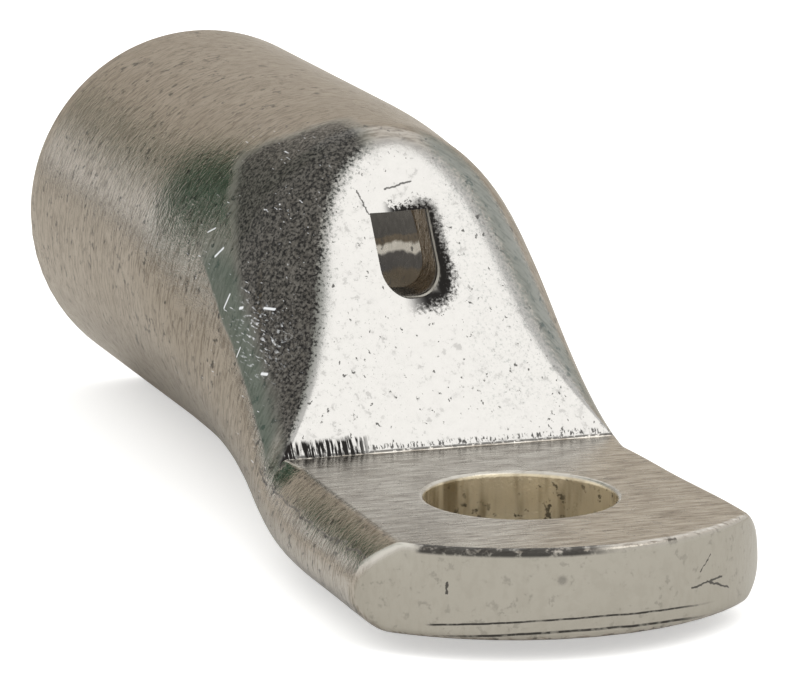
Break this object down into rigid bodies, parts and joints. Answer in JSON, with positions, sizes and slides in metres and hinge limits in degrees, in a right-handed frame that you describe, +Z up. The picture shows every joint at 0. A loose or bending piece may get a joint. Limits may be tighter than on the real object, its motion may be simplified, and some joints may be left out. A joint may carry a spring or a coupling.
{
  "type": "cable lug",
  "caption": "Tubular compression cable lug with a round barrel, a pressed ramp with an inspection window and a flat palm with a stud hole.",
  "frame": {"origin": "centre of the stud hole on the palm's contact face", "axes": "+X towards the open end of the barrel, +Z up from the contact face along the stud hole, +Y to the left when looking along +X"},
  "size_m": [0.0579, 0.0188, 0.018],
  "materials": {
    "tinned_copper": "tin plated copper, matt and slightly pitted, polished where the press touched it"
  },
  "bodies": {
    "root": {"cable_lug": "tinned_copper"}
  },
  "joints": []
}
